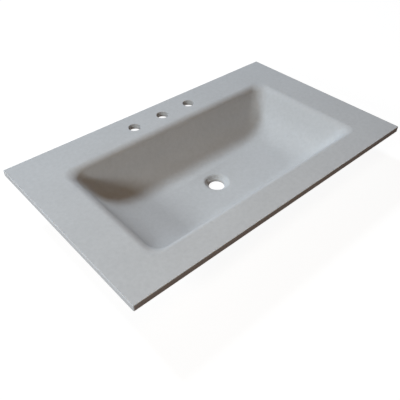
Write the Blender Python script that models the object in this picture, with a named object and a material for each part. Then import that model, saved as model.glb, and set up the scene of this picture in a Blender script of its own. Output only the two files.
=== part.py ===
"""Vanity sink top, cast in fibre-reinforced concrete with its basin in one piece.

X runs along the width, Y from the front edge (negative) to the wall (positive) and Z up.
The origin is under the middle of the deck, on the plane of the basin's flat underside.
The casting is two layers: a dense face coat, which is every surface that shows from above,
and a fibre-reinforced backer behind it. Flat glass-fibre grids and rods are cast between them.
"""

import math

import bmesh
import bpy
from mathutils import Matrix, Vector

# The deck: a flat slab with square edges and eased corners.
DECK_WIDTH = 0.940
DECK_DEPTH = 0.559
DECK_THICKNESS = 0.016
DECK_CORNER_RADIUS = 0.005
DECK_ARRIS = 0.001

# The basin's plan, as shares of the deck. Sizes run between the lines where walls and deck would meet.
BASIN_WIDTH_SHARE = 0.754
BASIN_LENGTH_SHARE = 0.643
FRONT_RAIL_SHARE = 0.145
WALL_RUN_SHARE = 0.173

# The front wall is steeper: its horizontal run, as a share of the other walls'.
FRONT_RUN_SHARE = 0.76

# The basin in section.
BASIN_EDGE_DEPTH = 0.108
FLOOR_FALL = 0.002
RIM_RADIUS = 0.027
FLOOR_RADIUS = 0.112
RIM_CORNER_RADIUS = 0.032
FLOOR_CORNER_RADIUS = 0.060
CORNER_LIMIT_SHARE = 0.9

# The drain: a flared recess over a plain throat.
DRAIN_RECESS_RADIUS = 0.036
DRAIN_THROAT_RADIUS = 0.0225
DRAIN_CONE_DEPTH = 0.013
DRAIN_FLOOR_THICKNESS = 0.018

# The three tap holes.
TAP_HOLE_RADIUS = 0.0175
TAP_HOLE_SPACING = 0.1016
TAP_HOLE_FROM_BACK_SHARE = 0.505

# The layers of the casting.
FACE_COAT = 0.003
THROAT_SKIN_STOP = 0.001
LAYER_GAP = 0.0003
UNDERSIDE_FLOOR_RADIUS = 0.118

# The glass-fibre grid between the layers.
GRID_PITCH = 0.030
STRAND_WIDTH = 0.004
GRID_THICKNESS = 0.001
GRID_EDGE_COVER = 0.008
GRID_BEND_COVER = 0.004

# The reinforcing rods, which lie under the deck's grid.
ROD_DIAMETER = 0.006
ROD_END_COVER = 0.020

# How finely round shapes are divided.
CORNER_STEPS = 8
LONG_SIDE_STEPS = 6
SHORT_SIDE_STEPS = 3
RIM_STEPS = 5
FLOOR_ARC_STEPS = 8
FLOOR_RINGS = 2
TAP_HOLE_SIDES = 28
ROD_SIDES = 12
SMOOTH_ANGLE = math.radians(35)
CUT_OVERRUN = 0.002

# Sizes and places that follow from the sizes above.
BASIN_WIDTH = DECK_WIDTH * BASIN_WIDTH_SHARE
BASIN_LENGTH = DECK_DEPTH * BASIN_LENGTH_SHARE
FRONT_RAIL = DECK_DEPTH * FRONT_RAIL_SHARE
REAR_RAIL = DECK_DEPTH - FRONT_RAIL - BASIN_LENGTH
WALL_RUN = BASIN_LENGTH * WALL_RUN_SHARE
WALL_ANGLE = math.atan2(BASIN_EDGE_DEPTH, WALL_RUN)
FRONT_WALL_ANGLE = math.atan2(BASIN_EDGE_DEPTH, WALL_RUN * FRONT_RUN_SHARE)
BASIN_DRAIN_DEPTH = BASIN_EDGE_DEPTH + FLOOR_FALL
OVERALL_HEIGHT = BASIN_DRAIN_DEPTH + DRAIN_FLOOR_THICKNESS
DECK_TOP = OVERALL_HEIGHT
DECK_UNDERSIDE = DECK_TOP - DECK_THICKNESS
BASIN_CENTRE_Y = -DECK_DEPTH / 2 + FRONT_RAIL + BASIN_LENGTH / 2
TAP_HOLE_Y = DECK_DEPTH / 2 - REAR_RAIL * TAP_HOLE_FROM_BACK_SHARE
TAP_HOLE_PLACES = (-TAP_HOLE_SPACING, 0, TAP_HOLE_SPACING)
RIM_SETBACK = RIM_RADIUS * math.tan(WALL_ANGLE / 2)
FLOOR_SETBACK = FLOOR_RADIUS * math.tan(WALL_ANGLE / 2)
FLOOR_INSET = WALL_RUN + FLOOR_SETBACK
RIM_BEND_DEPTH = RIM_RADIUS * (1 - math.cos(WALL_ANGLE))
FLOOR_BEND_DEPTH = BASIN_EDGE_DEPTH - FLOOR_RADIUS * (1 - math.cos(WALL_ANGLE))
BACKER_OFFSET = FACE_COAT + LAYER_GAP
POCKET_DEPTH = GRID_THICKNESS + LAYER_GAP
BACKER_TOP = DECK_TOP - BACKER_OFFSET
RING_POINTS = 4 * CORNER_STEPS + 2 * LONG_SIDE_STEPS + 2 * SHORT_SIDE_STEPS

# Colours as seen in plain white light, with roughness.
CONCRETE_FACE = ((0.434, 0.456, 0.479), 0.62)
CONCRETE_BACK = ((0.355, 0.360, 0.355), 0.9)
GLASS_GRID = ((0.78, 0.80, 0.76), 0.6)
GLASS_ROD = ((0.62, 0.56, 0.38), 0.45)


def clear_scene():
    """Starts from an empty scene."""
    for thing in list(bpy.data.objects):
        bpy.data.objects.remove(thing, do_unlink=True)


def finish(name, bm, material):
    """Makes a named object from a closed mesh, its faces outward and its round parts smooth."""
    bmesh.ops.recalc_face_normals(bm, faces=bm.faces)
    mesh = bpy.data.meshes.new(name)
    bm.to_mesh(mesh)
    bm.free()
    mesh.shade_smooth()
    mesh.set_sharp_from_angle(angle=SMOOTH_ANGLE)
    thing = bpy.data.objects.new(name, mesh)
    bpy.context.scene.collection.objects.link(thing)
    if material:
        mesh.materials.append(material)
    return thing


def surface(name, look):
    """A plain material of one colour and roughness."""
    colour, roughness = look
    material = bpy.data.materials.new(name)
    material.use_nodes = True
    shader = material.node_tree.nodes["Principled BSDF"]
    shader.inputs["Base Color"].default_value = (*colour, 1)
    shader.inputs["Roughness"].default_value = roughness
    shader.inputs["Metallic"].default_value = 0
    return material


def rounded_rectangle(half_x, half_y, radius, centre_y, z):
    """Points round a rectangle with round corners, anticlockwise from its right side."""
    corners = []
    for quarter, (side_x, side_y) in enumerate(((1, 1), (-1, 1), (-1, -1), (1, -1))):
        centre = Vector((side_x * (half_x - radius), centre_y + side_y * (half_y - radius), z))
        arc = []
        for step in range(CORNER_STEPS + 1):
            angle = math.pi / 2 * (quarter + step / CORNER_STEPS)
            arc.append(centre + radius * Vector((math.cos(angle), math.sin(angle), 0)))
        corners.append(arc)
    points = []
    for quarter, arc in enumerate(corners):
        points += arc
        steps = SHORT_SIDE_STEPS if quarter % 2 else LONG_SIDE_STEPS
        after = corners[(quarter + 1) % 4][0]
        points += [arc[-1].lerp(after, step / steps) for step in range(1, steps)]
    return points


def circle(radius, z):
    """Points round the drain, matched one to one with those of a rounded rectangle."""
    centre = Vector((0, BASIN_CENTRE_Y, z))
    points = []
    for index in range(RING_POINTS):
        angle = 2 * math.pi * (index + SHORT_SIDE_STEPS / 2) / RING_POINTS
        points.append(centre + radius * Vector((math.cos(angle), math.sin(angle), 0)))
    return points


def deck_ring(inset, z):
    """A ring parallel to the deck's edge."""
    radius = max(DECK_CORNER_RADIUS - inset, DECK_ARRIS)
    return rounded_rectangle(DECK_WIDTH / 2 - inset, DECK_DEPTH / 2 - inset, radius, 0, z)


def corner_radius_at(face_inset):
    """The basin's corner radius in plan, which changes evenly from the rim to the floor."""
    share = (face_inset + RIM_SETBACK) / (FLOOR_INSET + RIM_SETBACK)
    return RIM_CORNER_RADIUS + (FLOOR_CORNER_RADIUS - RIM_CORNER_RADIUS) * share


def basin_ring(face_inset, behind, z):
    """A level ring, set in from the line where walls and deck would meet, then out behind the face."""
    inset = face_inset - behind
    front_inset = face_inset * FRONT_RUN_SHARE - behind
    half_x = BASIN_WIDTH / 2 - inset
    half_y = (BASIN_LENGTH - inset - front_inset) / 2
    centre_y = BASIN_CENTRE_Y + (front_inset - inset) / 2
    radius = min(corner_radius_at(face_inset) + behind, half_y * CORNER_LIMIT_SHARE)
    return rounded_rectangle(half_x, half_y, radius, centre_y, z)


def basin_rings(offset, floor_depth, floor_radius):
    """Rings down a basin surface that lies offset behind the face: rim bend, wall, floor bend."""
    rings = []
    for step in range(RIM_STEPS + 1):
        lean = WALL_ANGLE * step / RIM_STEPS
        face_inset = -RIM_SETBACK + RIM_RADIUS * math.sin(lean)
        z = DECK_TOP - RIM_RADIUS + (RIM_RADIUS - offset) * math.cos(lean)
        rings.append(basin_ring(face_inset, offset * math.sin(lean), z))
    height = floor_depth - floor_radius
    centre_inset = (floor_radius - offset + height * math.cos(WALL_ANGLE)) / math.sin(WALL_ANGLE)
    for step in range(FLOOR_ARC_STEPS + 1):
        lean = WALL_ANGLE * (1 - step / FLOOR_ARC_STEPS)
        face_inset = FLOOR_INSET - FLOOR_RADIUS * math.sin(lean)
        inset = centre_inset - floor_radius * math.sin(lean)
        z = DECK_TOP - height - floor_radius * math.cos(lean)
        rings.append(basin_ring(face_inset, face_inset - inset, z))
    return rings


def drain_rings(offset, bottom):
    """Rings down the drain, offset behind the face: the recess's edge, its cone and the throat."""
    cone_angle = math.atan2(DRAIN_CONE_DEPTH, DRAIN_RECESS_RADIUS - DRAIN_THROAT_RADIUS)
    floor_z = DECK_TOP - BASIN_DRAIN_DEPTH
    throat_drop = offset * math.tan((math.pi / 2 - cone_angle) / 2)
    throat_z = floor_z - DRAIN_CONE_DEPTH - throat_drop
    throat_radius = DRAIN_THROAT_RADIUS + offset
    return [
        circle(DRAIN_RECESS_RADIUS + offset * math.tan(cone_angle / 2), floor_z - offset),
        circle(throat_radius, throat_z),
        circle(throat_radius, bottom),
    ]


def floor_and_drain_rings(offset, floor_edge, bottom):
    """Rings from the floor's edge, falling to the drain's recess and down its throat."""
    drain = drain_rings(offset, bottom)
    rings = []
    for step in range(1, FLOOR_RINGS + 1):
        share = step / (FLOOR_RINGS + 1)
        rings.append([a.lerp(b, share) for a, b in zip(floor_edge, drain[0])])
    return rings + drain


def loft(bm, rings):
    """Joins rings of equal length in turn, and the last to the first, into a closed body."""
    loops = [[bm.verts.new(point) for point in ring] for ring in rings]
    for here, there in zip(loops, loops[1:] + loops[:1]):
        for index in range(len(here)):
            after = (index + 1) % len(here)
            bm.faces.new((here[index], here[after], there[after], there[index]))


def lofted_body(name, rings, material):
    bm = bmesh.new()
    loft(bm, rings)
    return finish(name, bm, material)


def helper(thing):
    """Marks a shape that only cuts or joins others."""
    thing.hide_render = True
    thing.display_type = "WIRE"
    return thing


def combine(thing, tool, operation):
    """Adds a Boolean of a helper shape to a piece."""
    modifier = thing.modifiers.new(tool.name, "BOOLEAN")
    modifier.operation = operation
    modifier.object = helper(tool)


def upright_cylinder(name, radius, x, y, bottom, top):
    bm = bmesh.new()
    place = Matrix.Translation((x, y, (bottom + top) / 2))
    bmesh.ops.create_cone(
        bm,
        cap_ends=True,
        segments=TAP_HOLE_SIDES,
        radius1=radius,
        radius2=radius,
        depth=top - bottom,
        matrix=place,
    )
    return finish(name, bm, None)


def frame_tool(name, outer, inner, bottom, top):
    """A square ring between two rectangles given as half_x, half_y and centre_y."""
    rings = []
    for rectangle, z in ((outer, bottom), (outer, top), (inner, top), (inner, bottom)):
        half_x, half_y, centre_y = rectangle
        corners = ((half_x, half_y), (-half_x, half_y), (-half_x, -half_y), (half_x, -half_y))
        rings.append([Vector((x, centre_y + y, z)) for x, y in corners])
    return lofted_body(name, rings, None)


def face_coat(material):
    """The dense skin: deck top and edges, basin, drain, and the lining of the tap holes."""
    front = basin_rings(0, BASIN_EDGE_DEPTH, FLOOR_RADIUS)
    back = basin_rings(FACE_COAT, BASIN_EDGE_DEPTH + FACE_COAT, FLOOR_RADIUS + FACE_COAT)
    rings = [
        deck_ring(0, DECK_UNDERSIDE),
        deck_ring(0, DECK_TOP - DECK_ARRIS),
        deck_ring(DECK_ARRIS, DECK_TOP),
    ]
    rings += front + floor_and_drain_rings(0, front[-1], THROAT_SKIN_STOP)
    rings += (back + floor_and_drain_rings(FACE_COAT, back[-1], THROAT_SKIN_STOP))[::-1]
    rings += [deck_ring(FACE_COAT, DECK_TOP - FACE_COAT), deck_ring(FACE_COAT, DECK_UNDERSIDE)]
    body = lofted_body("face_coat", rings, material)
    for number, x in enumerate(TAP_HOLE_PLACES, 1):
        lining = upright_cylinder(
            f"lining_{number}",
            TAP_HOLE_RADIUS + FACE_COAT,
            x,
            TAP_HOLE_Y,
            DECK_UNDERSIDE,
            DECK_TOP - FACE_COAT / 2,
        )
        combine(body, lining, "UNION")
    for number, x in enumerate(TAP_HOLE_PLACES, 1):
        bore = upright_cylinder(
            f"tap_bore_{number}",
            TAP_HOLE_RADIUS,
            x,
            TAP_HOLE_Y,
            DECK_UNDERSIDE - CUT_OVERRUN,
            DECK_TOP + CUT_OVERRUN,
        )
        combine(body, bore, "DIFFERENCE")
    return body


def strand_places(length):
    """How many openings a grid has along a length, and where its strands' edges lie."""
    count = max(1, int((length - STRAND_WIDTH) / GRID_PITCH))
    start = -count * GRID_PITCH / 2
    edges = []
    for index in range(count + 1):
        middle = start + index * GRID_PITCH
        edges += [middle - STRAND_WIDTH / 2, middle + STRAND_WIDTH / 2]
    return edges


def block_over(edges, low, high):
    """The cells to leave out so that no strand crosses low to high, ending in whole openings."""
    covered = [i for i in range(len(edges) - 1) if edges[i + 1] > low and edges[i] < high]
    first, last = covered[0], covered[-1]
    first -= 1 - first % 2
    last += 1 - last % 2
    return first, last


def hole_edges(edges, low, high):
    """The edges of the strands that stay on each side of a left-out block."""
    first, last = block_over(edges, low, high)
    return edges[first], edges[last + 1]


def grid(name, x_edges, y_edges, left_out, place, material):
    """A flat net of strands. Its upper face is its own XY plane, and place puts it in the casting."""
    blocks = [(block_over(x_edges, *xs), block_over(y_edges, *ys)) for xs, ys in left_out]
    bm = bmesh.new()
    points = {}

    def point(i, j):
        if (i, j) not in points:
            points[i, j] = bm.verts.new((x_edges[i], y_edges[j], 0))
        return points[i, j]

    for i in range(len(x_edges) - 1):
        for j in range(len(y_edges) - 1):
            opening = i % 2 == 1 and j % 2 == 1
            skipped = any(a <= i <= b and c <= j <= d for (a, b), (c, d) in blocks)
            if not (opening or skipped):
                bm.faces.new((point(i, j), point(i + 1, j), point(i + 1, j + 1), point(i, j + 1)))
    below = bmesh.ops.extrude_face_region(bm, geom=bm.faces[:], use_keep_orig=True)
    moved = [part for part in below["geom"] if isinstance(part, bmesh.types.BMVert)]
    bmesh.ops.translate(bm, verts=moved, vec=(0, 0, -GRID_THICKNESS))
    net = finish(name, bm, material)
    net.matrix_world = place
    return net


def box_tool(name, half_x, half_y, bottom, top, place):
    """A plain block round the middle of its own XY plane."""
    bm = bmesh.new()
    size = Matrix.Diagonal((2 * half_x, 2 * half_y, top - bottom, 1))
    bmesh.ops.create_cube(bm, size=1, matrix=Matrix.Translation((0, 0, (top + bottom) / 2)) @ size)
    block = finish(name, bm, None)
    block.matrix_world = place
    return block


def deck_grid(material, backer):
    """The deck's grid, which goes round the basin and the tap holes, in a pocket of the backer."""
    x_edges = strand_places(DECK_WIDTH - 2 * (FACE_COAT + GRID_EDGE_COVER))
    y_edges = strand_places(DECK_DEPTH - 2 * (FACE_COAT + GRID_EDGE_COVER))
    reach_x = BASIN_WIDTH / 2 + RIM_SETBACK + LAYER_GAP
    reach_y = BASIN_LENGTH / 2 + RIM_SETBACK + LAYER_GAP
    basin_y = (BASIN_CENTRE_Y - reach_y, BASIN_CENTRE_Y + reach_y)
    lining = TAP_HOLE_RADIUS + BACKER_OFFSET + LAYER_GAP
    left_out = [((-reach_x, reach_x), basin_y)]
    for x in TAP_HOLE_PLACES:
        left_out.append(((x - lining, x + lining), (TAP_HOLE_Y - lining, TAP_HOLE_Y + lining)))
    net = grid("deck_grid", x_edges, y_edges, left_out, Matrix.Translation((0, 0, BACKER_TOP)), material)
    inner_x = hole_edges(x_edges, -reach_x, reach_x)[1] - LAYER_GAP
    front, back = hole_edges(y_edges, *basin_y)
    inner = (inner_x, (back - front) / 2 - LAYER_GAP, (front + back) / 2)
    outer = (x_edges[-1] + LAYER_GAP, y_edges[-1] + LAYER_GAP, 0)
    pocket_floor = BACKER_TOP - POCKET_DEPTH
    pocket = frame_tool("deck_grid_pocket", outer, inner, pocket_floor, BACKER_TOP + CUT_OVERRUN)
    combine(backer, pocket, "DIFFERENCE")
    return net


def wall_place(turn, angle, reach, slant):
    """The frame of a basin wall's backer, turned about Z: X level along it, Y up it and Z out of it."""
    lean = Matrix.Rotation(angle, 4, "X")
    down = Vector((0, math.cos(angle), math.sin(angle))) * -slant
    behind = Vector((0, -math.sin(angle), math.cos(angle))) * -BACKER_OFFSET
    offset = Matrix.Translation(Vector((0, reach, DECK_TOP)) + down + behind)
    middle = Matrix.Translation((0, BASIN_CENTRE_Y, 0))
    return middle @ Matrix.Rotation(turn, 4, "Z") @ offset @ lean


def wall_grid(name, turn, angle, reach, side, material, backer):
    """One wall's grid, on the flat part of the wall between the rim's bend and the floor's."""
    top = RIM_BEND_DEPTH / math.sin(angle) + GRID_BEND_COVER
    bottom = FLOOR_BEND_DEPTH / math.sin(angle) - GRID_BEND_COVER
    low_inset = FLOOR_BEND_DEPTH / math.tan(WALL_ANGLE)
    level = 2 * (side - low_inset - corner_radius_at(low_inset) - LAYER_GAP)
    x_edges = strand_places(level)
    y_edges = strand_places(bottom - top)
    place = wall_place(turn, angle, reach, (top + bottom) / 2)
    net = grid(name, x_edges, y_edges, [], place, material)
    pocket = box_tool(
        f"{name}_pocket",
        x_edges[-1] + LAYER_GAP,
        y_edges[-1] + LAYER_GAP,
        -POCKET_DEPTH,
        CUT_OVERRUN,
        place,
    )
    combine(backer, pocket, "DIFFERENCE")
    return net


def strands_round(clear, reach):
    """Edges of strands that start at a clear distance on both sides and repeat to a reach."""
    count = 1 + max(0, int((reach - clear - STRAND_WIDTH) / GRID_PITCH))
    edges = []
    for index in range(count):
        near = clear + index * GRID_PITCH
        edges += [near, near + STRAND_WIDTH]
    return [-edge for edge in reversed(edges)] + edges


def floor_grid(material, backer):
    """The floor's grid, which goes round the drain."""
    half_x = BASIN_WIDTH / 2 - FLOOR_INSET
    half_y = BASIN_LENGTH / 2 - FLOOR_INSET
    clear = DRAIN_RECESS_RADIUS + BACKER_OFFSET
    x_edges = strands_round(clear, half_x - FLOOR_CORNER_RADIUS)
    y_edges = strands_round(clear, half_y)
    top = DECK_TOP - BASIN_DRAIN_DEPTH - BACKER_OFFSET
    place = Matrix.Translation((0, BASIN_CENTRE_Y, top))
    net = grid("floor_grid", x_edges, y_edges, [], place, material)
    inner = clear - LAYER_GAP
    pocket = frame_tool(
        "floor_grid_pocket",
        (x_edges[-1] + LAYER_GAP, y_edges[-1] + LAYER_GAP, BASIN_CENTRE_Y),
        (inner, inner, BASIN_CENTRE_Y),
        top - POCKET_DEPTH,
        top + FLOOR_FALL + CUT_OVERRUN,
    )
    combine(backer, pocket, "DIFFERENCE")
    return net


def rod_bar(name, length, radius, material):
    """A round rod along its own X axis."""
    bm = bmesh.new()
    bmesh.ops.create_cone(
        bm,
        cap_ends=True,
        segments=ROD_SIDES,
        radius1=radius,
        radius2=radius,
        depth=length,
        matrix=Matrix.Rotation(math.pi / 2, 4, "Y"),
    )
    return finish(name, bm, material)


def groove_tool(name, length, radius, top):
    """A trench with a round bottom, along its own X axis, open upward."""
    outline = [Vector((0, -radius, top)), Vector((0, radius, top))]
    for step in range(ROD_SIDES // 2 + 1):
        angle = math.pi * step / (ROD_SIDES // 2)
        outline.append(Vector((0, radius * math.cos(angle), -radius * math.sin(angle))))
    bm = bmesh.new()
    ends = []
    for x in (-length / 2, length / 2):
        ends.append([bm.verts.new(point + Vector((x, 0, 0))) for point in outline])
    bmesh.ops.contextual_create(bm, geom=ends[0])
    bmesh.ops.contextual_create(bm, geom=ends[1])
    for index in range(len(outline)):
        after = (index + 1) % len(outline)
        bm.faces.new((ends[0][index], ends[0][after], ends[1][after], ends[1][index]))
    return finish(name, bm, None)


def rod(name, x, y, length, turn, material, backer):
    """A rod in its groove, under the deck's grid."""
    radius = ROD_DIAMETER / 2
    pocket_floor = BACKER_TOP - POCKET_DEPTH
    place = Matrix.Translation((x, y, pocket_floor - radius)) @ Matrix.Rotation(turn, 4, "Z")
    bar = rod_bar(name, length, radius, material)
    bar.matrix_world = place
    groove = groove_tool(
        f"{name}_groove",
        length + 2 * LAYER_GAP,
        radius + LAYER_GAP,
        radius + POCKET_DEPTH + CUT_OVERRUN,
    )
    groove.matrix_world = place
    combine(backer, groove, "DIFFERENCE")
    return bar


def rods(material, backer):
    """One rod in the front rail, two in the rear rail astride the tap holes, and one at each end."""
    edge = FACE_COAT + ROD_END_COVER
    long_rod = DECK_WIDTH - 2 * edge
    rim_front = BASIN_CENTRE_Y - BASIN_LENGTH / 2 - RIM_SETBACK
    rim_back = BASIN_CENTRE_Y + BASIN_LENGTH / 2 + RIM_SETBACK
    rim_side = BASIN_WIDTH / 2 + RIM_SETBACK
    lining = TAP_HOLE_RADIUS + FACE_COAT
    front_y = (rim_front - DECK_DEPTH / 2 + FACE_COAT) / 2
    inner_y = (rim_back + TAP_HOLE_Y - lining) / 2
    outer_y = (TAP_HOLE_Y + lining + DECK_DEPTH / 2 - FACE_COAT) / 2
    rod("front_rod", 0, front_y, long_rod, 0, material, backer)
    rod("rear_rod_inner", 0, inner_y, long_rod, 0, material, backer)
    rod("rear_rod_outer", 0, outer_y, long_rod, 0, material, backer)
    side_x = (rim_side + DECK_WIDTH / 2 - FACE_COAT) / 2
    side_length = inner_y - front_y - 2 * ROD_DIAMETER
    for name, x in (("left_rod", -side_x), ("right_rod", side_x)):
        rod(name, x, (front_y + inner_y) / 2, side_length, math.pi / 2, material, backer)


def deck_backer(material):
    """The fibre-reinforced layer under the deck, inside the face coat's edges."""
    rings = [
        deck_ring(BACKER_OFFSET, DECK_UNDERSIDE),
        deck_ring(BACKER_OFFSET, BACKER_TOP),
        basin_ring(-RIM_SETBACK, LAYER_GAP, BACKER_TOP),
        basin_ring(-RIM_SETBACK, LAYER_GAP, DECK_UNDERSIDE),
    ]
    plate = lofted_body("deck_backer", rings, material)
    for number, x in enumerate(TAP_HOLE_PLACES, 1):
        hole = upright_cylinder(
            f"backer_bore_{number}",
            TAP_HOLE_RADIUS + BACKER_OFFSET,
            x,
            TAP_HOLE_Y,
            DECK_UNDERSIDE - CUT_OVERRUN,
            DECK_TOP,
        )
        combine(plate, hole, "DIFFERENCE")
    return plate


def basin_backer(material):
    """The fibre-reinforced layer behind the basin, with a flat underside to stand on."""
    front = basin_rings(BACKER_OFFSET, BASIN_EDGE_DEPTH + BACKER_OFFSET, FLOOR_RADIUS + BACKER_OFFSET)
    back = basin_rings(DECK_THICKNESS, OVERALL_HEIGHT, UNDERSIDE_FLOOR_RADIUS)
    rings = front + floor_and_drain_rings(BACKER_OFFSET, front[-1], 0) + back[::-1]
    return lofted_body("basin_backer", rings, material)


def main():
    clear_scene()
    face = surface("concrete_face", CONCRETE_FACE)
    back = surface("concrete_back", CONCRETE_BACK)
    glass = surface("glass_grid", GLASS_GRID)
    bar = surface("glass_rod", GLASS_ROD)
    face_coat(face)
    plate = deck_backer(back)
    bowl = basin_backer(back)
    deck_grid(glass, plate)
    rods(bar, plate)
    long, short = BASIN_WIDTH / 2, BASIN_LENGTH / 2
    wall_grid("front_wall_grid", math.pi, FRONT_WALL_ANGLE, short, long, glass, bowl)
    wall_grid("back_wall_grid", 0, WALL_ANGLE, short, long, glass, bowl)
    wall_grid("left_wall_grid", math.pi / 2, WALL_ANGLE, long, short, glass, bowl)
    wall_grid("right_wall_grid", -math.pi / 2, WALL_ANGLE, long, short, glass, bowl)
    floor_grid(glass, bowl)


main()
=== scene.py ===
# %% [markdown]
# # A vanity top cast in concrete
# This notebook dresses one object: a bathroom vanity top with its basin moulded in. The real top is
# sprayed and packed into a mould in layers: first a thin face coat, then a thicker backer full of
# glass fibre. Everything seen from above is the face coat. We start by loading the solids, which fix
# every size, and we keep their box.

# %% Load the solids
import math

import bmesh
import bpy
import numpy as np
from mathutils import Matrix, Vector, noise


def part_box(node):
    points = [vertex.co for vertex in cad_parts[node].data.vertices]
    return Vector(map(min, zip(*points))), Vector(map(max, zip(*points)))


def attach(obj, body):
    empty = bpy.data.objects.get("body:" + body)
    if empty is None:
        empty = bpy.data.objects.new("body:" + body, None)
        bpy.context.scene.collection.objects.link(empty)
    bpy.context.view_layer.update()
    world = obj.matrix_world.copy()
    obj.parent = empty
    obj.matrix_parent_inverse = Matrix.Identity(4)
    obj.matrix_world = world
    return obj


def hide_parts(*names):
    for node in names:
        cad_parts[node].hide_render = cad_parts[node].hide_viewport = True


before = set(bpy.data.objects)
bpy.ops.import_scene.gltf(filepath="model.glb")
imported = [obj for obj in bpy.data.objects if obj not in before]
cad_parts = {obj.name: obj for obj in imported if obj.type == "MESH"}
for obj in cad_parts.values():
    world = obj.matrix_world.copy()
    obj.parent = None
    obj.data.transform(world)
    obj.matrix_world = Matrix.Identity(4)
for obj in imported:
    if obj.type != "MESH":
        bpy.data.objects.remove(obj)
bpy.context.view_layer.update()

MM = 0.001
COAT_LOW, COAT_HIGH = (Vector(corner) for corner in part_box("face_coat"))
PLATE_LOW, PLATE_HIGH = (Vector(corner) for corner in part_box("deck_backer"))
BOWL_LOW = Vector(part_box("basin_backer")[0])
DECK_TOP = COAT_HIGH.z
DECK_UNDERSIDE = PLATE_LOW.z
DECK_HALF_X = COAT_HIGH.x
DECK_HALF_Y = COAT_HIGH.y

# %% [markdown]
# ## Camera
# The camera stands to the front left of the top and above it, where the photographer stood. Its place
# and lens were solved from the slab's corners and edges, so we write down a position, three angles and
# a focal length, and nothing in the picture has to be nudged later.

# %% Camera
CAMERA_PLACE = (-0.7447, -0.7682, 0.8837)
CAMERA_ANGLES = (48.448, -0.334, -41.966)
FOCAL_LENGTH_MM = 43.22
SENSOR_MM = 36.0
NEAREST_SEEN = 0.01


def add_object(name, data):
    """A new object in the scene that holds the data."""
    thing = bpy.data.objects.new(name, data)
    bpy.context.scene.collection.objects.link(thing)
    return thing


lens = bpy.data.cameras.new("camera")
lens.lens = FOCAL_LENGTH_MM
lens.sensor_width = SENSOR_MM
lens.clip_start = NEAREST_SEEN
camera = add_object("camera", lens)
camera.location = CAMERA_PLACE
camera.rotation_euler = [math.radians(angle) for angle in CAMERA_ANGLES]
bpy.context.scene.camera = camera
print("camera is", round(Vector(CAMERA_PLACE).length, 3), "m from the origin")

# %% [markdown]
# ## Drawing with rings
# A sink is hard to model with boxes, because every edge of the basin is a soft bend. It is easy to
# model as a pile of rings: rounded rectangles, each a little smaller and lower than the last, joined
# by quads. All rings have the same number of points, so any two of them can be joined, even a
# rounded rectangle and the drain's circle.

# %% Rings
CORNER_STEPS = 14
LONG_STEPS = 44
SHORT_STEPS = 20
RING_POINTS = 4 * CORNER_STEPS + 2 * LONG_STEPS + 2 * SHORT_STEPS


def rounded_rectangle(half_x, half_y, radius, centre_y, z):
    """Points round a rectangle with round corners, anticlockwise from its right side."""
    corners = []
    for quarter, (side_x, side_y) in enumerate(((1, 1), (-1, 1), (-1, -1), (1, -1))):
        angle = math.pi / 2 * (quarter + np.arange(CORNER_STEPS + 1) / CORNER_STEPS)
        x = side_x * (half_x - radius) + radius * np.cos(angle)
        y = centre_y + side_y * (half_y - radius) + radius * np.sin(angle)
        corners.append(np.stack([x, y, np.full(len(angle), z)], axis=1))
    runs = []
    for quarter, arc in enumerate(corners):
        steps = SHORT_STEPS if quarter % 2 else LONG_STEPS
        share = (np.arange(1, steps) / steps)[:, None]
        runs += [arc, arc[-1] * (1 - share) + corners[(quarter + 1) % 4][0] * share]
    return np.concatenate(runs)


def circle(radius, centre_y, z):
    """A circle whose points match those of a rounded rectangle one to one."""
    angle = 2 * math.pi * (np.arange(RING_POINTS) + SHORT_STEPS / 2) / RING_POINTS
    x, y = radius * np.cos(angle), centre_y + radius * np.sin(angle)
    return np.stack([x, y, np.full(RING_POINTS, z)], axis=1)


def blend_rings(first, last, steps):
    """The rings that lie between two rings, without either of them."""
    return [first + (last - first) * step / steps for step in range(1, steps)]


print("points in a ring:", RING_POINTS)

# %% [markdown]
# ## From rings to a mesh
# The last ring is joined back to the first, so each piece is a closed skin with a real thickness.
# Faces are shaded smooth, and edges that turn by more than a set angle stay crisp.

# %% Loft
CRISP_ANGLE = math.radians(32)


def shade_crisply(mesh):
    """Smooth shading that stops at every edge that turns by more than the crisp angle."""
    mesh.shade_smooth()
    mesh.set_sharp_from_angle(angle=CRISP_ANGLE)


def loft(name, rings):
    """A closed mesh through the rings."""
    points = np.concatenate(rings)
    here = np.arange(len(rings))[:, None] * RING_POINTS + np.arange(RING_POINTS)[None]
    there = np.roll(here, -1, axis=0)
    quads = np.stack([here, np.roll(here, -1, axis=1), np.roll(there, -1, axis=1), there], axis=2)
    mesh = bpy.data.meshes.new(name)
    mesh.from_pydata(points.tolist(), [], quads.reshape(-1, 4).tolist())
    shell = bmesh.new()
    shell.from_mesh(mesh)
    bmesh.ops.recalc_face_normals(shell, faces=shell.faces)
    shell.to_mesh(mesh)
    shell.free()
    shade_crisply(mesh)
    return mesh


def link_mesh(name, mesh):
    """Puts a mesh in the scene as a piece on the top's one body."""
    piece = add_object(name, mesh)
    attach(piece, "root")
    return piece


print("edges stay crisp above", round(math.degrees(CRISP_ANGLE)), "degrees")

# %% [markdown]
# ## The basin's section
# Seen from the end, the basin is a tight bend at the rim, a short straight wall, and a wide sweep into
# the floor, so that water runs off it. The front wall is steeper than the others. A ring's `face_inset`
# says how far it lies inside the line where wall and deck would meet, and `behind` how far it then
# moves out again, into the concrete. That gives the hidden side of the coat, evenly thick all over.

# %% Basin sizes
BASIN_LENGTH_SHARE = 0.754
BASIN_WIDTH_SHARE = 0.643
FRONT_RAIL_SHARE = 0.145
WALL_RUN_SHARE = 0.173
FRONT_RUN_SHARE = 0.76

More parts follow.
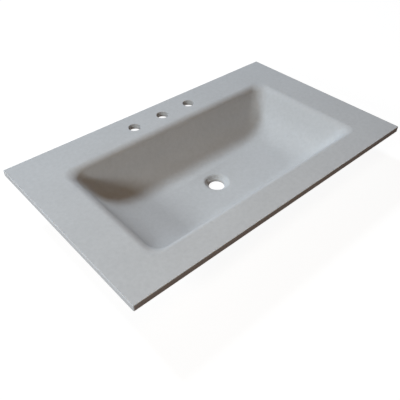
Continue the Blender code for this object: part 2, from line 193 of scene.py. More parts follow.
BASIN_HALF_X = DECK_HALF_X * BASIN_LENGTH_SHARE
BASIN_HALF_Y = DECK_HALF_Y * BASIN_WIDTH_SHARE
FRONT_RAIL = 2 * DECK_HALF_Y * FRONT_RAIL_SHARE
REAR_RAIL = 2 * (DECK_HALF_Y - BASIN_HALF_Y) - FRONT_RAIL
BASIN_Y = FRONT_RAIL + BASIN_HALF_Y - DECK_HALF_Y
FLOOR_DEPTH = 0.108
FLOOR_FALL = 0.002
DRAIN_TOP = DECK_TOP - FLOOR_DEPTH - FLOOR_FALL
WALL_RUN = 2 * BASIN_HALF_Y * WALL_RUN_SHARE
WALL_ANGLE = math.atan2(FLOOR_DEPTH, WALL_RUN)
RIM_BEND = 0.027
FLOOR_BEND = 0.112
RIM_CORNER = 0.032
FLOOR_CORNER = 0.060
RIM_SETBACK = RIM_BEND * math.tan(WALL_ANGLE / 2)
FLOOR_INSET = WALL_RUN + FLOOR_BEND * math.tan(WALL_ANGLE / 2)
print("basin in mm:", round(2 * BASIN_HALF_X / MM), "by", round(2 * BASIN_HALF_Y / MM))
print("wall angle in degrees:", round(math.degrees(WALL_ANGLE), 2))

# %% Basin rings
def corner_radius(face_inset):
    """The corners open from the rim to the floor."""
    share = (face_inset + RIM_SETBACK) / (FLOOR_INSET + RIM_SETBACK)
    return RIM_CORNER + (FLOOR_CORNER - RIM_CORNER) * share


def basin_ring(face_inset, behind, z):
    """A level ring of the basin, set in from the meeting line and then out behind the face."""
    inset = face_inset - behind
    front_inset = face_inset * FRONT_RUN_SHARE - behind
    half_y = BASIN_HALF_Y - (inset + front_inset) / 2
    centre_y = BASIN_Y + (front_inset - inset) / 2
    return rounded_rectangle(BASIN_HALF_X - inset, half_y, corner_radius(face_inset) + behind, centre_y, z)


def basin_rings(offset, floor_depth, floor_bend, rim_steps, wall_steps, floor_steps):
    """Rings from the deck down to the edge of the floor, at an offset behind the face."""
    rings = []
    for lean in np.linspace(0, WALL_ANGLE, rim_steps + 1):
        face_inset = -RIM_SETBACK + RIM_BEND * math.sin(lean)
        z = DECK_TOP - RIM_BEND + (RIM_BEND - offset) * math.cos(lean)
        rings.append(basin_ring(face_inset, offset * math.sin(lean), z))
    bend = []
    # The bend's centre is this far in for its circle to touch both the floor and the leaning wall.
    height = floor_depth - floor_bend
    centre = (floor_bend - offset + height * math.cos(WALL_ANGLE)) / math.sin(WALL_ANGLE)
    for lean in np.linspace(WALL_ANGLE, 0, floor_steps + 1):
        face_inset = FLOOR_INSET - FLOOR_BEND * math.sin(lean)
        inset = centre - floor_bend * math.sin(lean)
        z = DECK_TOP - height - floor_bend * math.cos(lean)
        bend.append(basin_ring(face_inset, face_inset - inset, z))
    return rings + blend_rings(rings[-1], bend[0], wall_steps) + bend


# %% [markdown]
# ## The drain
# Nothing is fitted in the drain, so its shape shows: a soft lip, a flare and a plain throat, with the
# floor white through it. The lip and the edge of the throat are rounded, because a mould can't
# release a knife edge of concrete. The plug that shapes the flare is turned, and it leaves a few fine
# ridges round the flare.

# %% Drain section
DRAIN_RECESS = 0.036
DRAIN_THROAT = 0.0225
DRAIN_CONE_DEPTH = 0.013
DRAIN_LIP = 0.005
THROAT_EDGE = 0.0025
THROAT_STOP = COAT_LOW.z
FLARE_ANGLE = math.atan2(DRAIN_CONE_DEPTH, DRAIN_RECESS - DRAIN_THROAT)
LIP_STEPS = 7
RIDGE_COUNT = 3
RIDGE_HEIGHT = 0.0009
RIDGE_STEPS = 8
FALL_POWER = 1.5


def ridged(first, last):
    """Circles down the flare between two circles, raised in ridges by the turned plug."""
    rings = []
    for step, ring in enumerate(blend_rings(first, last, RIDGE_COUNT * RIDGE_STEPS), 1):
        swell = RIDGE_HEIGHT * (1 - math.cos(2 * math.pi * step / RIDGE_STEPS)) / 2
        rings.append(ring + np.array([0, 0, swell]))
    return rings


def drain_rings():
    """Circles from the floor's lip, down the flare and through the throat."""
    lip = []
    lip_centre = DRAIN_RECESS + DRAIN_LIP * math.tan(FLARE_ANGLE / 2)
    for lean in np.linspace(0, FLARE_ANGLE, LIP_STEPS + 1):
        z = DRAIN_TOP - DRAIN_LIP * (1 - math.cos(lean))
        lip.append(circle(lip_centre - DRAIN_LIP * math.sin(lean), BASIN_Y, z))
    throat = []
    edge_z = DRAIN_TOP - DRAIN_CONE_DEPTH - THROAT_EDGE * math.tan((math.pi / 2 - FLARE_ANGLE) / 2)
    for lean in np.linspace(FLARE_ANGLE, math.pi / 2, LIP_STEPS + 1):
        radius = DRAIN_THROAT + THROAT_EDGE * (1 - math.sin(lean))
        throat.append(circle(radius, BASIN_Y, edge_z + THROAT_EDGE * math.cos(lean)))
    return lip + ridged(lip[-1], throat[0]) + throat


def floor_rings(edge, drain, steps):
    """Rings across the floor, which falls faster as it nears the drain."""
    rings = []
    for step in range(1, steps):
        share = step / steps
        ring = edge + (drain - edge) * share
        ring[:, 2] = edge[:, 2] + (drain[:, 2] - edge[:, 2]) * share ** FALL_POWER
        rings.append(ring)
    return rings


print("the flare leans", round(math.degrees(FLARE_ANGLE), 1), "degrees down from the floor")

# %% [markdown]
# ## The face coat
# One skin makes the deck, its square edges, the basin and the drain. The deck gets a second ring just
# inside each bend. Smooth shading spreads a bend's tilt over the next face, and these thin bands keep
# it off the wide flat deck. Behind the face the same rings come back up, one coat further in, and
# where the floor turns into the flare they are mitred, so that the coat keeps its thickness there.

# %% Face coat rings
COAT = 0.003
EDGE_ROUND = 0.0012
DECK_CORNER = 0.003
SMALLEST_CORNER = 0.2 * MM
BAND = 0.0015
MITRE_SHARE = 0.4
EDGE_STEPS = 5
DECK_STEPS = 5
FLOOR_STEPS = 16
HIDDEN_FLOOR_STEPS = 4
# Three numbers count the steps of the rim's bend, of the wall and of the floor's bend.
FACE_STEPS = (14, 12, 28)
HIDDEN_STEPS = (6, 3, 12)


def deck_ring(inset, z):
    """A level ring of the slab, set in from its outer edge."""
    radius = max(DECK_CORNER - inset, SMALLEST_CORNER)
    return rounded_rectangle(DECK_HALF_X - inset, DECK_HALF_Y - inset, radius, 0, z)


def edge_rings():
    """Rings up the slab's edge and over its rounded arris."""
    rings = [deck_ring(0, DECK_UNDERSIDE)]
    for turn in np.linspace(0, math.pi / 2, EDGE_STEPS + 1):
        inset = EDGE_ROUND * (1 - math.cos(turn))
        rings.append(deck_ring(inset, DECK_TOP - EDGE_ROUND * (1 - math.sin(turn))))
    return rings + [deck_ring(EDGE_ROUND + BAND, DECK_TOP)]


def hidden_rings(behind):
    """Rings of the basin and its drain at a distance behind the face, down to the throat."""
    wall = basin_rings(behind, FLOOR_DEPTH + behind, FLOOR_BEND + behind, *HIDDEN_STEPS)
    lip = circle(DRAIN_RECESS + MITRE_SHARE * behind, BASIN_Y, DRAIN_TOP - behind)
    throat_z = DRAIN_TOP - DRAIN_CONE_DEPTH - MITRE_SHARE * behind
    throat = circle(DRAIN_THROAT + behind, BASIN_Y, throat_z)
    return wall + floor_rings(wall[-1], lip, HIDDEN_FLOOR_STEPS) + [lip, throat]


deck_edge = edge_rings()
deck_inner = basin_ring(-RIM_SETBACK, BAND, DECK_TOP)
basin = basin_rings(0, FLOOR_DEPTH, FLOOR_BEND, *FACE_STEPS)
drain = drain_rings()
coat_rings = deck_edge + blend_rings(deck_edge[-1], deck_inner, DECK_STEPS) + [deck_inner]
coat_rings += basin + floor_rings(basin[-1], drain[0], FLOOR_STEPS) + drain
coat_rings.append(circle(DRAIN_THROAT, BASIN_Y, THROAT_STOP))
coat_rings.append(circle(DRAIN_THROAT + COAT, BASIN_Y, THROAT_STOP))
coat_rings += hidden_rings(COAT)[::-1]
coat_rings += [deck_ring(COAT, DECK_TOP - COAT), deck_ring(COAT, DECK_UNDERSIDE)]
coat_mesh = loft("cast_face", coat_rings)
print("face coat:", len(coat_mesh.polygons), "faces")

# %% [markdown]
# ## Tap holes
# The coat turns down into each tap hole and lines it. So a short plug is first joined to the coat at
# each place with a Boolean, and then a turned cutter opens the hole and rounds its mouth. We mark the
# mouth's outer edge sharp, so that the rounding never shades the deck round it.

# %% Tools for the tap holes
TAP_RADIUS = 0.0175
TAP_RAIL_SHARE = 0.505
TAP_Y = DECK_HALF_Y - REAR_RAIL * TAP_RAIL_SHARE
TAP_SPACING = 0.1016
TAP_PLACES = (-TAP_SPACING, 0, TAP_SPACING)
TAP_SIDES = 72
MOUTH_ROUND = 0.0008
MOUTH_STEPS = 4
PAST = 0.002


def turned(name, profile, x, y):
    """A closed body turned about an upright axis, from (radius, z) pairs, lowest first."""
    body = bmesh.new()
    loops = []
    for radius, z in profile:
        loop = []
        for side in range(TAP_SIDES):
            angle = 2 * math.pi * side / TAP_SIDES
            loop.append(body.verts.new((x + radius * math.cos(angle), y + radius * math.sin(angle), z)))
        loops.append(loop)
    for low, high in zip(loops, loops[1:]):
        for side in range(TAP_SIDES):
            after = (side + 1) % TAP_SIDES
            body.faces.new((low[side], low[after], high[after], high[side]))
    body.faces.new(loops[0][::-1])
    body.faces.new(loops[-1])
    bmesh.ops.recalc_face_normals(body, faces=body.faces)
    mesh = bpy.data.meshes.new(name)
    body.to_mesh(mesh)
    body.free()
    return add_object(name, mesh)


def tap_jobs(name, profile, operation):
    """A turned tool at each tap hole, paired with what it does to the piece."""
    tools = [turned(f"{name}_{number}", profile, x, TAP_Y) for number, x in enumerate(TAP_PLACES, 1)]
    return [(tool, operation) for tool in tools]


def apply_booleans(piece, jobs):
    """Runs each (tool, operation) on the piece, keeps the result and deletes the tools."""
    for tool, operation in jobs:
        step = piece.modifiers.new(tool.name, "BOOLEAN")
        step.operation = operation
        step.object = tool
    graph = bpy.context.evaluated_depsgraph_get()
    done = bpy.data.meshes.new_from_object(piece.evaluated_get(graph))
    piece.modifiers.clear()
    piece.data = done
    shade_crisply(done)
    for tool, operation in jobs:
        bpy.data.objects.remove(tool, do_unlink=True)


# %% Tap holes
def mouth_profile():
    """The cutter's outline: a plain bore that opens with a small round at the deck."""
    outline = [(TAP_RADIUS, DECK_UNDERSIDE - PAST)]
    for turn in np.linspace(0, math.pi / 2, MOUTH_STEPS + 1):
        radius = TAP_RADIUS + MOUTH_ROUND * (1 - math.cos(turn))
        outline.append((radius, DECK_TOP - MOUTH_ROUND * (1 - math.sin(turn))))
    return outline + [(TAP_RADIUS + MOUTH_ROUND, DECK_TOP + PAST)]


plug = [(TAP_RADIUS + COAT, DECK_UNDERSIDE), (TAP_RADIUS + COAT, DECK_TOP - COAT / 2)]
cast_face = link_mesh("cast_face", coat_mesh)
jobs = tap_jobs("lining", plug, "UNION") + tap_jobs("bore", mouth_profile(), "DIFFERENCE")
apply_booleans(cast_face, jobs)
print("face coat with tap holes:", len(cast_face.data.polygons), "faces")

# %% Keep the deck flat round the tap holes
LEVEL_WITHIN = 0.01 * MM
ROUND_WITHIN = 0.05 * MM
mouth = TAP_RADIUS + MOUTH_ROUND
verts = cast_face.data.vertices
sharp = cast_face.data.attributes["sharp_edge"].data
marked = 0
for edge in cast_face.data.edges:
    ends = [verts[index].co for index in edge.vertices]
    on_deck = all(abs(point.z - DECK_TOP) < LEVEL_WITHIN for point in ends)
    for x in TAP_PLACES:
        off_mouth = [abs(math.hypot(point.x - x, point.y - TAP_Y) - mouth) for point in ends]
        if on_deck and max(off_mouth) < ROUND_WITHIN:
            sharp[edge.index].value = True
            marked += 1
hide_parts("face_coat")
print("edges marked round the tap holes:", marked)

# %% [markdown]
# ## The deck's backer
# From below you see the backer, not the coat. It is pressed in by hand and rolled, so its underside
# waves a little. We cut its plate into many narrow rings and lift the underside by a smooth noise,
# and leave it flat at its edges, where it is struck off level with the coat.

# %% Deck backer
GAP = 0.0003
WAVE_HEIGHT = 0.5 * MM
WAVE_SIZE = 0.045
RIPPLE_SHARE = 0.5
RIPPLES_PER_WAVE = 2.7
PLATE_TOP = PLATE_HIGH.z
PLATE_RINGS = 34
PLATE_FADE_RINGS = 3
PLATE_SEED = 3


def hand_worked(points, shares, height, seed):
    """How far each point sinks into a hand-laid surface; the shares fade it out at the borders."""
    depths = []
    for point, share in zip(points, shares):
        place = Vector(point) / WAVE_SIZE + Vector((seed, 0, 0))
        wave = noise.noise(place) + RIPPLE_SHARE * noise.noise(place * RIPPLES_PER_WAVE)
        depths.append(share * height * (1 + max(-1, min(1, wave))) / 2)
    return np.array(depths)


outer = deck_ring(COAT + GAP, DECK_UNDERSIDE)
inner = basin_ring(-RIM_SETBACK, GAP, DECK_UNDERSIDE)
plate_rings = [deck_ring(COAT + GAP, PLATE_TOP), outer]
for step, ring in enumerate(blend_rings(outer, inner, PLATE_RINGS), 1):
    fade = min(1, min(step, PLATE_RINGS - step) / PLATE_FADE_RINGS)
    ring[:, 2] += hand_worked(ring, np.full(RING_POINTS, fade), WAVE_HEIGHT, PLATE_SEED)
    plate_rings.append(ring)
plate_rings += [inner, basin_ring(-RIM_SETBACK, GAP, PLATE_TOP)]
deck_back = link_mesh("deck_back", loft("deck_back", plate_rings))
hole = TAP_RADIUS + COAT + GAP
bore = [(hole, DECK_UNDERSIDE - PAST), (hole, PLATE_TOP + PAST)]
apply_booleans(deck_back, tap_jobs("plate_bore", bore, "DIFFERENCE"))
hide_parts("deck_backer")
print("deck backer:", len(deck_back.data.polygons), "faces")

# %% [markdown]
# ## The basin's backer
# The bowl that hangs under the deck is the same section again, thicker, with a flat foot round the
# drain for the waste's gasket. Its sides get the same hand-worked wave, twice as deep, and the foot
# stays level.

# %% Basin backer
DECK_THICKNESS = DECK_TOP - DECK_UNDERSIDE
FOOT_BEND = 0.118
FOOT_STEPS = 10
UNDERSIDE_STEPS = (8, 14, 30)
BOWL_WAVE_HEIGHT = 2 * WAVE_HEIGHT
BOWL_FADE = 0.02
BOWL_SEED = 11
middle = np.array([0, BASIN_Y, 0])
level = np.array([1, 1, 0])

worked = []
for ring in basin_rings(DECK_THICKNESS, DECK_TOP - BOWL_LOW.z, FOOT_BEND, *UNDERSIDE_STEPS):
    above_foot = np.clip((ring[:, 2] - BOWL_LOW.z) / BOWL_FADE, 0, 1)
    below_deck = np.clip((DECK_UNDERSIDE - ring[:, 2]) / BOWL_FADE, 0, 1)
    inward = (middle - ring) * level
    inward /= np.linalg.norm(inward, axis=1)[:, None]
    depth = hand_worked(ring, above_foot * below_deck, BOWL_WAVE_HEIGHT, BOWL_SEED)
    worked.append(ring + inward * depth[:, None])
foot = circle(DRAIN_THROAT + COAT + GAP, BASIN_Y, BOWL_LOW.z)
bowl_rings = hidden_rings(COAT + GAP) + [foot] + blend_rings(foot, worked[-1], FOOT_STEPS) + worked[::-1]
basin_back = link_mesh("basin_back", loft("basin_back", bowl_rings))
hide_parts("basin_backer")
print("basin backer:", len(basin_back.data.polygons), "faces")

# %% [markdown]
# ## Shared effects
# Concrete looks flat and lifeless in one colour. Three effects bring it back: soft clouds from the way
# the mix settles, fine sand grain, and small air holes. Clouds and grain are smooth noise at different
# scales, and a hole is the middle of a Voronoi cell, kept in about one cell of five. Each effect is a
# node group, built once and placed in each material that shows it, with its own values. A group hands
# out masks, values and heights only, and the shader itself stays in the material.

# %% Helpers for nodes
def feed(tree, socket, value):
    """Sets a socket to a plain number, or links it to another node's output."""
    if isinstance(value, (int, float)):
        socket.default_value = value
    else:
        tree.links.new(value, socket)


def math_node(tree, operation, first, second):
    """A maths node whose inputs are sockets or plain numbers."""
    node = tree.nodes.new("ShaderNodeMath")
    node.operation = operation
    feed(tree, node.inputs[0], first)
    feed(tree, node.inputs[1], second)
    return node.outputs[0]


def range_node(tree, value, low, high, to_low=0.0, to_high=1.0):
    """Maps one range of values to another, with its ends held."""
    node = tree.nodes.new("ShaderNodeMapRange")
    numbers = {"Value": value, "From Min": low, "From Max": high, "To Min": to_low, "To Max": to_high}
    for label, number in numbers.items():
        feed(tree, node.inputs[label], number)
    return node.outputs["Result"]


def noise_node(tree, position, scale, detail, roughness=0.5):
    """Smooth noise at a number of features per metre."""
    node = tree.nodes.new("ShaderNodeTexNoise")
    node.inputs["Detail"].default_value = detail
    node.inputs["Roughness"].default_value = roughness
    feed(tree, node.inputs["Scale"], scale)
    tree.links.new(position, node.inputs["Vector"])
    return node.outputs["Fac"]


def new_group(name, inputs, outputs):
    """An empty node group with float inputs (with defaults) and float outputs."""
    tree = bpy.data.node_groups.new(name, "ShaderNodeTree")
    tree.interface.new_socket("Position", in_out="INPUT", socket_type="NodeSocketVector")
    for label, value in inputs.items():
        socket = tree.interface.new_socket(label, in_out="INPUT", socket_type="NodeSocketFloat")
        socket.default_value = value
    for label in outputs:
        tree.interface.new_socket(label, in_out="OUTPUT", socket_type="NodeSocketFloat")
    print("node group:", name, "gives", outputs)
    return tree, tree.nodes.new("NodeGroupInput"), tree.nodes.new("NodeGroupOutput")


# %% Clouds in the mix
NOISE_LOW, NOISE_HIGH = 0.3, 0.7


def spread(tree, value):
    """Noise keeps near one half, so this stretches it to run from -1 to 1."""
    return range_node(tree, value, NOISE_LOW, NOISE_HIGH, -1, 1)


tree, given, out = new_group("settling clouds", {"Scale": 9.0, "Fine Scale": 60.0}, ["Cloud", "Mottle"])
broad = noise_node(tree, given.outputs["Position"], given.outputs["Scale"], detail=3)
fine = noise_node(tree, given.outputs["Position"], given.outputs["Fine Scale"], detail=4, roughness=0.6)
tree.links.new(spread(tree, broad), out.inputs["Cloud"])
tree.links.new(spread(tree, fine), out.inputs["Mottle"])
settling_clouds = tree

# %% Sand grain
tree, given, out = new_group("sand grain", {"Scale": 900.0}, ["Grain", "Height"])
speck = noise_node(tree, given.outputs["Position"], given.outputs["Scale"], detail=2, roughness=0.7)
tree.links.new(spread(tree, speck), out.inputs["Grain"])
tree.links.new(speck, out.inputs["Height"])
sand_grain = tree

# %% Air holes
HOLE_FLOOR_SHARE = 0.6
EMPTY_CELL_SHARE = 0.8
tree, given, out = new_group("air holes", {"Scale": 55.0, "Size": 0.045}, ["Mask"])
cells = tree.nodes.new("ShaderNodeTexVoronoi")
tree.links.new(given.outputs["Position"], cells.inputs["Vector"])
tree.links.new(given.outputs["Scale"], cells.inputs["Scale"])
pick = tree.nodes.new("ShaderNodeSeparateColor")
tree.links.new(cells.outputs["Color"], pick.inputs["Color"])
size = math_node(tree, "MULTIPLY", pick.outputs["Red"], given.outputs["Size"])
hole_floor = math_node(tree, "MULTIPLY", size, HOLE_FLOOR_SHARE)
inside = range_node(tree, cells.outputs["Distance"], size, hole_floor)
chosen = math_node(tree, "GREATER_THAN", pick.outputs["Green"], EMPTY_CELL_SHARE)
tree.links.new(math_node(tree, "MULTIPLY", inside, chosen), out.inputs["Mask"])
air_holes = tree

# %% [markdown]
# ## Face concrete
# The face is pale grey with a slight blue cast, dead matte, and very even, because it was cast against
# a smooth mould. So its clouds and grain are faint: a few parts in a hundred. The grain also makes a
# small bump, which breaks up the highlight along the rim.

# %% Helpers for materials
def new_material(name, roughness):
    """A material, its node tree, its shader, and the place of each point on the piece."""
    material = bpy.data.materials.new(name)
    material.use_nodes = True
    tree = material.node_tree
    shader = tree.nodes["Principled BSDF"]
    shader.inputs["Roughness"].default_value = roughness
    place = tree.nodes.new("ShaderNodeTexCoord")
    return material, tree, shader, place.outputs["Object"]


def use_group(tree, group, position, values):
    """Places a node group and sets its own values."""
    node = tree.nodes.new("ShaderNodeGroup")
    node.node_tree = group
    tree.links.new(position, node.inputs["Position"])
    for label, value in values.items():
        node.inputs[label].default_value = value
    return node


def tint(tree, colour, shade):
    """Multiplies a plain colour by a shade that changes over the surface."""
    node = tree.nodes.new("ShaderNodeVectorMath")
    node.operation = "SCALE"
    node.inputs[0].default_value = colour
    tree.links.new(shade, node.inputs["Scale"])
    return node.outputs[0]


def weighted_sum(tree, start, terms):
    """start plus each mask times its weight."""
    total = start
    for mask, weight in terms:
        total = math_node(tree, "ADD", math_node(tree, "MULTIPLY", mask, weight), total)
    return total


def bump(tree, shader, height, distance):
    """Turns a height from 0 to 1 into relief of this distance on the shader's normal."""
    node = tree.nodes.new("ShaderNodeBump")
    node.inputs["Distance"].default_value = distance
    tree.links.new(height, node.inputs["Height"])
    tree.links.new(node.outputs["Normal"], shader.inputs["Normal"])


# %% Face concrete
FACE_COLOUR = (0.434, 0.456, 0.479)
FACE_ROUGHNESS = 0.85
FACE_SPECULAR = 0.2
FACE_RELIEF = 0.3 * MM
face, tree, shader, position = new_material("face concrete", FACE_ROUGHNESS)
clouds = use_group(tree, settling_clouds, position, {"Scale": 8.0, "Fine Scale": 95.0})
grain = use_group(tree, sand_grain, position, {"Scale": 650.0})
holes = use_group(tree, air_holes, position, {"Scale": 45.0, "Size": 0.05})
shade = weighted_sum(tree, 1.0, (
    (clouds.outputs["Cloud"], 0.022),
    (clouds.outputs["Mottle"], 0.042),
    (grain.outputs["Grain"], 0.035),
    # The air holes are darker in colour: painted shade inside each hole.
    (holes.outputs["Mask"], -0.22),
))
tree.links.new(tint(tree, FACE_COLOUR, shade), shader.inputs["Base Color"])
matte = weighted_sum(tree, FACE_ROUGHNESS, (
    (clouds.outputs["Mottle"], 0.04),
    (holes.outputs["Mask"], 0.2),
))
tree.links.new(matte, shader.inputs["Roughness"])
height = weighted_sum(tree, 0.0, (
    (grain.outputs["Height"], 0.12),
    (holes.outputs["Mask"], -0.8),
))
bump(tree, shader, height, FACE_RELIEF)
shader.inputs["Specular IOR Level"].default_value = FACE_SPECULAR
cast_face.data.materials.clear()
cast_face.data.materials.append(face)
print("face colour:", FACE_COLOUR)

# %% [markdown]
# ## Back concrete
# The backer is the same cement without the pigment, so it is greyer and a little greener. Rolling leaves
# it open and rough, and chopped glass fibres show as pale dashes that lie every way. A dash is the core
# of a Voronoi cell, once space is stretched along the fibre and squeezed across it. Four layers of
# cells are turned different ways and laid over each other.

# %% Chopped fibres
FIBRE_TURNS = (0.3, 1.15, 1.9, 2.6)
FIBRE_TILT_SHARES = (0.2, 0.35, 1)
FIBRE_SHIFT_SHARES = (1, 2, 3)
WIDTHS_BETWEEN_FIBRES = 10
FIBRE_EDGE, FIBRE_CORE = 0.10, 0.05
tree, given, out = new_group("chopped fibres", {"Length": 0.030, "Width": 0.0012}, ["Mask"])
along = given.outputs["Length"]
across = math_node(tree, "MULTIPLY", given.outputs["Width"], WIDTHS_BETWEEN_FIBRES)
total = 0.0
for turn in FIBRE_TURNS:
    spin = tree.nodes.new("ShaderNodeMapping")
    spin.inputs["Rotation"].default_value = [turn * share for share in FIBRE_TILT_SHARES]
    spin.inputs["Location"].default_value = [turn * share for share in FIBRE_SHIFT_SHARES]
    tree.links.new(given.outputs["Position"], spin.inputs["Vector"])
    parts = tree.nodes.new("ShaderNodeSeparateXYZ")
    tree.links.new(spin.outputs["Vector"], parts.inputs["Vector"])
    squeezed = tree.nodes.new("ShaderNodeCombineXYZ")
    for axis, size in (("X", along), ("Y", across), ("Z", across)):
        tree.links.new(math_node(tree, "DIVIDE", parts.outputs[axis], size), squeezed.inputs[axis])
    cells = tree.nodes.new("ShaderNodeTexVoronoi")
    cells.inputs["Scale"].default_value = 1.0
    tree.links.new(squeezed.outputs["Vector"], cells.inputs["Vector"])
    strand = range_node(tree, cells.outputs["Distance"], FIBRE_EDGE, FIBRE_CORE)
    total = math_node(tree, "MAXIMUM", total, strand)
tree.links.new(total, out.inputs["Mask"])
chopped_fibres = tree

# %% Back concrete
BACK_COLOUR = (0.355, 0.360, 0.355)
BACK_ROUGHNESS = 0.88
BACK_RELIEF = 0.8 * MM
rough_back, tree, shader, position = new_material("back concrete", BACK_ROUGHNESS)
clouds = use_group(tree, settling_clouds, position, {"Scale": 14.0, "Fine Scale": 110.0})
grain = use_group(tree, sand_grain, position, {"Scale": 420.0})
holes = use_group(tree, air_holes, position, {"Scale": 120.0, "Size": 0.22})
fibres = use_group(tree, chopped_fibres, position, {"Length": 0.028, "Width": 0.0011})
shade = weighted_sum(tree, 1.0, (
    (clouds.outputs["Cloud"], 0.07),
    (clouds.outputs["Mottle"], 0.06),
    (grain.outputs["Grain"], 0.08),
    # The air holes are darker in colour: painted shade inside each hole.
    (holes.outputs["Mask"], -0.35),
    (fibres.outputs["Mask"], 0.22),
))
tree.links.new(tint(tree, BACK_COLOUR, shade), shader.inputs["Base Color"])
matte = weighted_sum(tree, BACK_ROUGHNESS, (
    (clouds.outputs["Mottle"], 0.05),
    (fibres.outputs["Mask"], -0.25),
))
tree.links.new(matte, shader.inputs["Roughness"])
height = weighted_sum(tree, 0.0, (
    (grain.outputs["Height"], 0.35),
    (clouds.outputs["Mottle"], 0.25),
    (holes.outputs["Mask"], -0.9),
    (fibres.outputs["Mask"], 0.3),
))
bump(tree, shader, height, BACK_RELIEF)
for piece in (deck_back, basin_back):
    piece.data.materials.clear()
    piece.data.materials.append(rough_back)
print("back colour:", BACK_COLOUR)

# %% [markdown]
# ## Reinforcement
# The grids and rods lie inside the casting and keep their solids. Our two backers are drawn whole,
# without the pockets and grooves that the solids have, so each grid and rod lies in a backer's material,
# where no view shows it. They still get a finish: fine slanting ribs on the strands of the coated grids,
# and wider ribs and sandy grain on the resin rods, like roving wound round a bar.

# %% Grid and rod finishes
GRID_COLOUR = (0.78, 0.80, 0.76)
ROD_COLOUR = (0.62, 0.56, 0.38)
RIB_WANDER = 1.5
GLASS_GRAIN = 1500.0
RIB_BASE_TONE, RIB_PAINTED_SHADE, GRAIN_CONTRAST = 0.94, 0.12, 0.05


def ribbed(name, colour, roughness, ribs, slant, depth):
    """A finish with bands of ribs, slanted by an angle about the upright axis, with painted shade in the
    grooves.
    """
    material, tree, shader, position = new_material(name, roughness)
    spin = tree.nodes.new("ShaderNodeMapping")
    spin.inputs["Rotation"].default_value = (0, 0, math.radians(slant))
    tree.links.new(position, spin.inputs["Vector"])
    wave = tree.nodes.new("ShaderNodeTexWave")
    wave.inputs["Scale"].default_value = ribs
    wave.inputs["Distortion"].default_value = RIB_WANDER
    tree.links.new(spin.outputs["Vector"], wave.inputs["Vector"])
    grain = use_group(tree, sand_grain, position, {"Scale": GLASS_GRAIN})
    # The colour follows the ribs' relief, darker in the grooves and lighter on the ridges: painted shade.
    terms = ((wave.outputs["Fac"], RIB_PAINTED_SHADE), (grain.outputs["Grain"], GRAIN_CONTRAST))
    shade = weighted_sum(tree, RIB_BASE_TONE, terms)
    tree.links.new(tint(tree, colour, shade), shader.inputs["Base Color"])
    bump(tree, shader, wave.outputs["Fac"], depth)
    return material


grid_finish = ribbed("coated glass grid", GRID_COLOUR, roughness=0.6, ribs=400, slant=45, depth=0.1 * MM)
rod_finish = ribbed("glass and resin rod", ROD_COLOUR, roughness=0.45, ribs=60, slant=20, depth=0.3 * MM)
GRIDS = [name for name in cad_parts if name.endswith("_grid")]
RODS = [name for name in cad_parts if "_rod" in name]
for names, finish in ((GRIDS, grid_finish), (RODS, rod_finish)):
    for name in names:
        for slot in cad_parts[name].material_slots:
            slot.material = finish
print("grids:", len(GRIDS), "rods:", len(RODS))

# %% [markdown]
# ## Floor and light
# The floor and the world are white only to the camera, a mirror or clear glass. To the object they are
# a plain dim room, so its shaded sides go dark as they should. The floor is clear from below, and it
# lets a lamp under it shine up, so that the bowl's underside can be looked at too.

# %% Helpers for shaders
WHITE = (1, 1, 1)


def plain_shader(tree, kind, colour, strength=None):
    """A shader node of one colour, with a strength where it gives light of its own."""
    node = tree.nodes.new(kind)
    node.inputs["Color"].default_value = (*colour, 1)
    if strength is not None:
        node.inputs["Strength"].default_value = strength
    return node.outputs[0]


def join_shaders(tree, kind, *parts):
    """Adds or mixes shaders; a mix takes its share first, and then the shaders for 0 and 1."""
    node = tree.nodes.new(kind)
    for socket, part in zip(node.inputs, parts):
        tree.links.new(part, socket)
    return node.outputs[0]


def seen_directly(tree):
    """One for rays that come straight from the camera, a mirror or clear glass."""
    path = tree.nodes.new("ShaderNodeLightPath")
    seen = math_node(tree, "MAXIMUM", path.outputs["Is Camera Ray"], path.outputs["Is Glossy Ray"])
    return math_node(tree, "MAXIMUM", seen, path.outputs["Is Transmission Ray"])


# %% Floor
FLOOR_SIZE = 12.0
FLOOR_GAP = 0.5 * MM
FLOOR_SEEN = 0.92
FLOOR_DIFFUSE = 0.12
FLOOR_BOUNCE = (0.115, 0.048, 0.032)

half = FLOOR_SIZE / 2
corners = [(-half, -half, 0), (half, -half, 0), (half, half, 0), (-half, half, 0)]
floor_mesh = bpy.data.meshes.new("floor")
floor_mesh.from_pydata(corners, [], [(0, 1, 2, 3)])
floor = add_object("floor", floor_mesh)
floor.location.z = -FLOOR_GAP

floor_finish = bpy.data.materials.new("studio floor")
floor_finish.use_nodes = True
tree = floor_finish.node_tree
tree.nodes.clear()
glow = plain_shader(tree, "ShaderNodeEmission", WHITE, FLOOR_SEEN)
pale = plain_shader(tree, "ShaderNodeBsdfDiffuse", (FLOOR_DIFFUSE, FLOOR_DIFFUSE, FLOOR_DIFFUSE))
bright = join_shaders(tree, "ShaderNodeAddShader", glow, pale)
dim = plain_shader(tree, "ShaderNodeBsdfDiffuse", FLOOR_BOUNCE)
from_above = join_shaders(tree, "ShaderNodeMixShader", seen_directly(tree), dim, bright)
side = tree.nodes.new("ShaderNodeNewGeometry")
path = tree.nodes.new("ShaderNodeLightPath")
through = math_node(tree, "MAXIMUM", side.outputs["Backfacing"], path.outputs["Is Shadow Ray"])
clear = tree.nodes.new("ShaderNodeBsdfTransparent")
surface = join_shaders(tree, "ShaderNodeMixShader", through, from_above, clear.outputs[0])
ending = tree.nodes.new("ShaderNodeOutputMaterial")
tree.links.new(surface, ending.inputs["Surface"])
floor_mesh.materials.append(floor_finish)
print("floor:", FLOOR_SIZE, "m square")

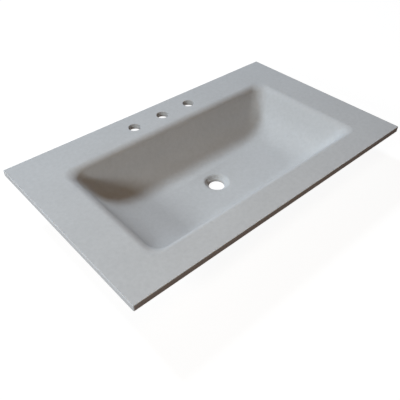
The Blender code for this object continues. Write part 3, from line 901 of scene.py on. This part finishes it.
# %% World
ROOM_LIGHT = (0.07, 0.035, 0.018)
world = bpy.data.worlds.new("studio")
bpy.context.scene.world = world
world.use_nodes = True
tree = world.node_tree
tree.nodes.clear()
room = plain_shader(tree, "ShaderNodeBackground", ROOM_LIGHT)
white = plain_shader(tree, "ShaderNodeBackground", WHITE)
surface = join_shaders(tree, "ShaderNodeMixShader", seen_directly(tree), room, white)
ending = tree.nodes.new("ShaderNodeOutputWorld")
tree.links.new(surface, ending.inputs["Surface"])
print("room light:", ROOM_LIGHT)

# %% [markdown]
# ## Lamps
# The shading of the basin tells where the photographer's light came from. The back wall is dark and its
# foot turns bright along one clear line, so a window stands high behind that wall. The left corner is
# darker still, and the right wall is the brightest, so a second window stands low on the left. Both
# windows are small for their distance, which keeps the edges of the shading as clear as they are in
# the photograph. A weak warm lamp hangs close over the front left corner, where the deck is a little
# brighter. The slab's left face is as bright as its top, though the basin is dark behind that rim. Only
# a light at the slab's own height does that, so a low strip stands on the left, and a weaker one on the
# right. The last lamp is straight below. It lights the underside alone, and no upright face feels it.

# %% Lamps
def soft_box(name, azimuth, elevation, distance, size, power, colour):
    """An area lamp that faces the deck's middle. Azimuth turns from the wall side (+Y) towards +X."""
    lamp = bpy.data.lights.new(name, "AREA")
    lamp.shape = "RECTANGLE"
    lamp.size, lamp.size_y = size
    lamp.energy = power
    lamp.color = colour
    around, up = math.radians(azimuth), math.radians(elevation)
    away = Vector((math.sin(around) * math.cos(up), math.cos(around) * math.cos(up), math.sin(up)))
    thing = add_object(name, lamp)
    thing.location = Vector((0, 0, DECK_TOP)) + away * distance
    thing.rotation_euler = away.to_track_quat("Z", "Y").to_euler()
    print(name, "of", power, "W at", distance, "m")


soft_box("back window", -11, 44.5, 6.0, (0.8, 0.9), 328, (0.83, 0.915, 0.99))
soft_box("left window", -100, 24, 3.5, (0.4, 0.6), 66, (0.965, 1.0, 0.99))
soft_box("room lamp", -152, 58, 1.3, (0.4, 0.4), 2.5, (1.0, 0.69, 0.36))
soft_box("low left strip", -88, -1, 3.5, (0.4, 0.1), 27, (0.94, 0.98, 1.0))
soft_box("low right strip", 90, -1, 3.5, (0.4, 0.1), 14, (1.0, 0.98, 0.96))
soft_box("under lamp", 0, -90, 4.0, (0.5, 0.5), 130, (1.0, 0.98, 0.96))
bpy.context.scene.view_settings.view_transform = "Standard"
